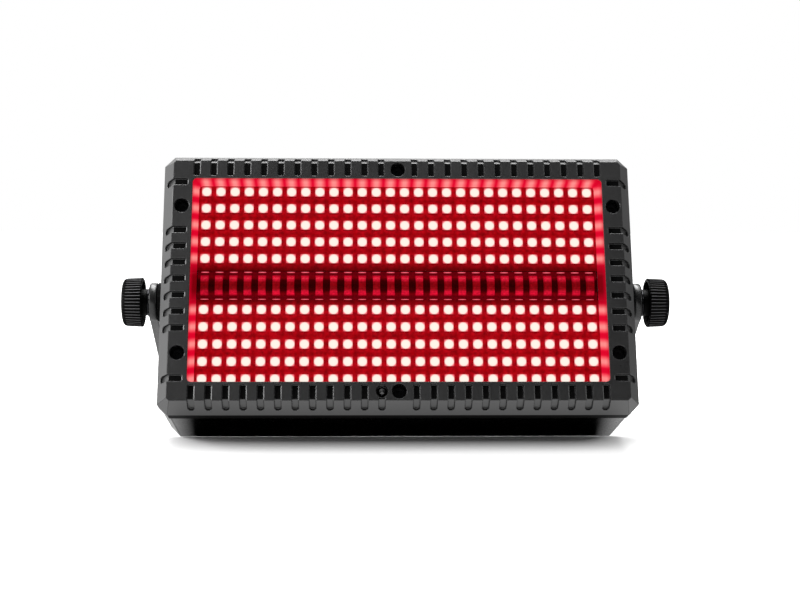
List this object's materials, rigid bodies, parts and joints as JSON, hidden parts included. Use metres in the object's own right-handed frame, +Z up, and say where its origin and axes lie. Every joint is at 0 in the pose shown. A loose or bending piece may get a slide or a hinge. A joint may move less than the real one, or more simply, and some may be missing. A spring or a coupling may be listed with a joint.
{
  "type": "strobe light",
  "caption": "Compact LED strobe light with a grooved bezel, red LED panels, a clear centre lens strip and a clamp-knob yoke, standing tilted back.",
  "frame": {"origin": "on the floor, under the middle of the bounding box of the light as it stands", "axes": "+X along the pivot to the right seen from the front, -Y towards the viewer that the lit face looks at, +Z up"},
  "size_m": [0.296, 0.1678, 0.1518],
  "materials": {
    "bezel": "fine leather grain, black",
    "housing": "fine grain, black",
    "window_frame": "glossy, reflects the red LEDs",
    "led_board": "circuit board under lit red LEDs",
    "lens": "clear moulded lens, lit red from both sides",
    "circuit": "satin solder mask",
    "aluminium": "plain milled",
    "rubber": "matt black",
    "dark_lens": "polished, smoky",
    "fan": "satin black",
    "socket": "satin black",
    "button": "satin grey",
    "black_steel": "black zinc",
    "steel": "zinc plated",
    "brass": "turned",
    "knob": "satin black, ribbed",
    "yoke": "satin black powder coat"
  },
  "bodies": {
    "yoke": {"yoke": "yoke"},
    "head": {"front_bezel": "bezel", "window_frame": "window_frame", "upper_led_board": "led_board", "lower_led_board": "led_board", "strobe_led_board": "circuit", "strobe_lens": "lens", "heat_sink": "aluminium", "bezel_gasket": "rubber", "rear_housing": "housing", "infrared_receiver": "dark_lens", "power_supply": "aluminium", "control_board": "circuit", "display_window": "dark_lens", "fan_frame": "fan", "power_inlet": "socket", "power_outlet": "socket", "fuse_holder": "socket", "data_inlet": "socket", "data_outlet": "socket", "safety_eye": "steel", "bezel_screw_1": "black_steel", "bezel_screw_2": "black_steel", "bezel_screw_3": "black_steel", "bezel_screw_4": "black_steel", "bezel_screw_5": "black_steel", "bezel_screw_6": "black_steel", "fan_screw_1": "black_steel", "fan_screw_2": "black_steel", "fan_screw_3": "black_steel", "fan_screw_4": "black_steel", "supply_screw_1": "steel", "supply_screw_2": "steel", "supply_screw_3": "steel", "supply_screw_4": "steel", "left_pivot_insert": "brass", "right_pivot_insert": "brass", "left_friction_disc": "rubber", "right_friction_disc": "rubber"},
    "left_knob": {"left_knob": "knob", "left_knob_stud": "steel", "left_knob_washer": "black_steel"},
    "right_knob": {"right_knob": "knob", "right_knob_stud": "steel", "right_knob_washer": "black_steel"},
    "fan_rotor": {"fan_rotor": "fan"},
    "fuse_cap": {"fuse_cap": "socket"},
    "menu_button_1": {"menu_button_1": "button"},
    "menu_button_2": {"menu_button_2": "button"},
    "menu_button_3": {"menu_button_3": "button"},
    "menu_button_4": {"menu_button_4": "button"}
  },
  "joints": [
    {"name": "head_tilt", "type": "hinge", "parent": "yoke", "child": "head", "pos_m": [0, -0.01817, 0.07363], "axis": [1, 0, 0], "continuous": true},
    {"name": "left_knob_turn", "type": "hinge", "parent": "head", "child": "left_knob", "pos_m": [0, -0.01817, 0.07363], "axis": [-1, 0, 0], "range_deg": [0, 360]},
    {"name": "right_knob_turn", "type": "hinge", "parent": "head", "child": "right_knob", "pos_m": [0, -0.01817, 0.07363], "axis": [1, 0, 0], "range_deg": [0, 360]},
    {"name": "fan_spin", "type": "hinge", "parent": "head", "child": "fan_rotor", "pos_m": [0.068, -0.00048, 0.08422], "axis": [0, -0.9397, 0.342], "continuous": true},
    {"name": "fuse_cap_turn", "type": "hinge", "parent": "head", "child": "fuse_cap", "pos_m": [-0.056, -0.00575, 0.02441], "axis": [0, 0.9397, -0.342], "range_deg": [0, 90]},
    {"name": "menu_button_1_press", "type": "slide", "parent": "head", "child": "menu_button_1", "axis": [0, -0.9397, 0.342], "range_m": [0, 0.0008], "stiffness_N_per_m": 1500},
    {"name": "menu_button_2_press", "type": "slide", "parent": "head", "child": "menu_button_2", "axis": [0, -0.9397, 0.342], "range_m": [0, 0.0008], "stiffness_N_per_m": 1500},
    {"name": "menu_button_3_press", "type": "slide", "parent": "head", "child": "menu_button_3", "axis": [0, -0.9397, 0.342], "range_m": [0, 0.0008], "stiffness_N_per_m": 1500},
    {"name": "menu_button_4_press", "type": "slide", "parent": "head", "child": "menu_button_4", "axis": [0, -0.9397, 0.342], "range_m": [0, 0.0008], "stiffness_N_per_m": 1500}
  ]
}
